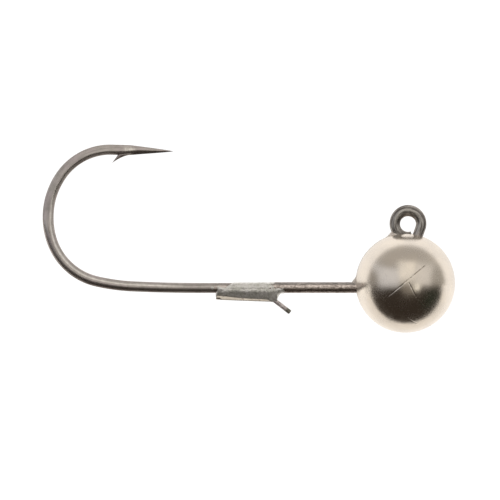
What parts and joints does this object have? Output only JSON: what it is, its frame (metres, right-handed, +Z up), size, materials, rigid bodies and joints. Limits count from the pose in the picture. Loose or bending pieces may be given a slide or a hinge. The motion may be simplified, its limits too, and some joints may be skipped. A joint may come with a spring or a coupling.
{
  "type": "fishing jig head",
  "caption": "Ball-head fishing jig: a barbed long-shank wire hook with its own line eye, a round weight under the eye and a soldered bait-keeper wire.",
  "frame": {"origin": "centre of the line eye, on the hook's middle plane", "axes": "+X along the shank from the bend to the ball weight, +Y through the line eye and across the hook's plane, +Z up from the shank towards the point"},
  "size_m": [0.0382, 0.0092, 0.0174],
  "materials": {
    "hook_steel": "satin",
    "ball_metal": "gloss",
    "solder": "satin",
    "keeper_steel": "satin"
  },
  "bodies": {
    "root": {"hook": "hook_steel", "ball_weight": "ball_metal", "slot_filler": "solder", "keeper_wire": "keeper_steel", "keeper_solder": "solder"}
  },
  "joints": []
}
